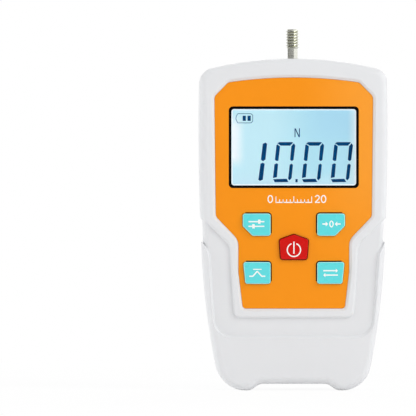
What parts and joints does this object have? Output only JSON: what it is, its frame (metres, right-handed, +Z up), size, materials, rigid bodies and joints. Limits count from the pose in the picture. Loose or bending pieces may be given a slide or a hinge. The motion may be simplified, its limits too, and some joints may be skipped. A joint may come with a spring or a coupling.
{
  "type": "force gauge",
  "caption": "Hand-held digital force gauge: white moulded housing, orange panel, display, push keys and a threaded sensing shaft on top.",
  "frame": {"origin": "on the ground below the middle of the housing, which stands on its two base lobes", "axes": "+Z up along the sensing shaft, -Y out of the display, +X to the right of someone reading it"},
  "size_m": [0.0848, 0.034, 0.1629],
  "materials": {
    "housing_white": "satin",
    "panel_orange": "satin",
    "bezel_black": "gloss",
    "lens_clear": "clear",
    "display_white": "satin",
    "print_white": "satin",
    "display_ink": "gloss",
    "display_glass": "gloss",
    "key_cyan": "gloss",
    "key_red": "gloss",
    "plunger_black": "satin",
    "board_green": "satin",
    "chip_black": "satin",
    "connector_white": "satin",
    "steel": "polished",
    "aluminium": "satin",
    "brass": "turned",
    "gauge_foil": "satin",
    "battery_wrap": "gloss",
    "socket_black": "satin"
  },
  "bodies": {
    "gauge_body": {"front_housing": "housing_white", "rear_housing": "housing_white", "face_panel": "panel_orange", "display_bezel": "bezel_black", "display_lens": "lens_clear", "display_holder": "display_white", "display_glass": "display_glass", "display_backlight": "display_white", "switch_cases": "chip_black", "main_board": "board_green", "board_chips": "chip_black", "board_connectors": "connector_white", "board_screws": "steel", "chassis_plate": "aluminium", "stand_inserts": "brass", "chassis_screws": "steel", "load_cell": "aluminium", "strain_gauges": "gauge_foil", "cell_bracket": "aluminium", "cell_screws": "steel", "overload_stop": "steel", "shaft_guide": "steel", "battery_tray": "socket_black", "battery_cells": "battery_wrap", "battery_contacts": "steel", "charging_socket": "socket_black", "socket_pin": "steel", "housing_screws": "steel"},
    "set_button": {"set_key": "key_cyan", "set_plunger": "plunger_black"},
    "zero_button": {"zero_key": "key_cyan", "zero_plunger": "plunger_black"},
    "peak_button": {"peak_key": "key_cyan", "peak_plunger": "plunger_black"},
    "unit_button": {"unit_key": "key_cyan", "unit_plunger": "plunger_black"},
    "power_button": {"power_key": "key_red", "power_plunger": "plunger_black"},
    "shaft": {"sensing_shaft": "steel", "shaft_locknut": "steel"}
  },
  "joints": [
    {"name": "set_press", "type": "slide", "parent": "gauge_body", "child": "set_button", "axis": [0, 1, 0], "range_m": [0, 0.0008], "stiffness_N_per_m": 2500},
    {"name": "zero_press", "type": "slide", "parent": "gauge_body", "child": "zero_button", "axis": [0, 1, 0], "range_m": [0, 0.0008], "stiffness_N_per_m": 2500},
    {"name": "peak_press", "type": "slide", "parent": "gauge_body", "child": "peak_button", "axis": [0, 1, 0], "range_m": [0, 0.0008], "stiffness_N_per_m": 2500},
    {"name": "unit_press", "type": "slide", "parent": "gauge_body", "child": "unit_button", "axis": [0, 1, 0], "range_m": [0, 0.0008], "stiffness_N_per_m": 2500},
    {"name": "power_press", "type": "slide", "parent": "gauge_body", "child": "power_button", "axis": [0, 1, 0], "range_m": [0, 0.0008], "stiffness_N_per_m": 2500},
    {"name": "shaft_travel", "type": "slide", "parent": "gauge_body", "child": "shaft", "axis": [0, 0, 1], "range_m": [-0.0003, 0.0003], "stiffness_N_per_m": 60000, "deforming": ["load_cell"]}
  ]
}
